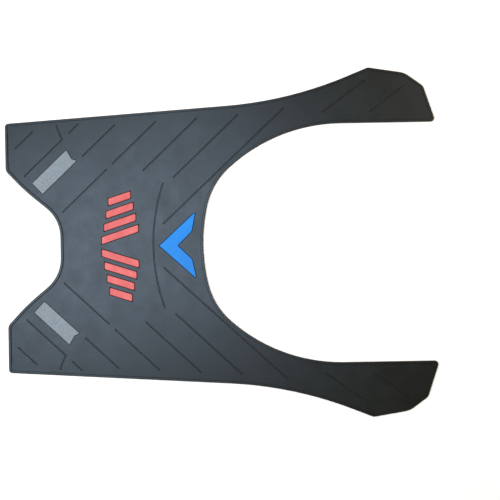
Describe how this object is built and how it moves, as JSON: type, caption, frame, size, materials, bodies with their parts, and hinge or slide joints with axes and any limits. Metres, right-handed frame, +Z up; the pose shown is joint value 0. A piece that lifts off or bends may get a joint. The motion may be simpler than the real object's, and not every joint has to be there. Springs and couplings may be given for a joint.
{
  "type": "scooter floor mat",
  "caption": "Flat moulded rubber floor mat with a beaded edge, slanting grooves, raised coloured inlays, a hollow front edge and a deep rear cut-out between two arms.",
  "frame": {"origin": "on the surface that the mat lies on, under the middle of its outline", "axes": "+X from the front edge to the rear arms, +Y across to the rider's right, +Z up out of the top"},
  "size_m": [0.536, 0.436, 0.0045],
  "materials": {
    "black_rubber": "fine matt moulded grain",
    "grey_rubber": "satin with a fine metallic fleck",
    "blue_rubber": "smooth satin",
    "red_rubber": "smooth satin"
  },
  "bodies": {
    "root": {"mat_sheet": "black_rubber", "grey_strip_left": "grey_rubber", "grey_strip_right": "grey_rubber", "blue_chevron": "blue_rubber", "red_bar_left_1": "red_rubber", "red_bar_left_2": "red_rubber", "red_bar_left_3": "red_rubber", "red_bar_left_4": "red_rubber", "red_bar_right_1": "red_rubber", "red_bar_right_2": "red_rubber", "red_bar_right_3": "red_rubber", "red_bar_right_4": "red_rubber"}
  },
  "joints": []
}
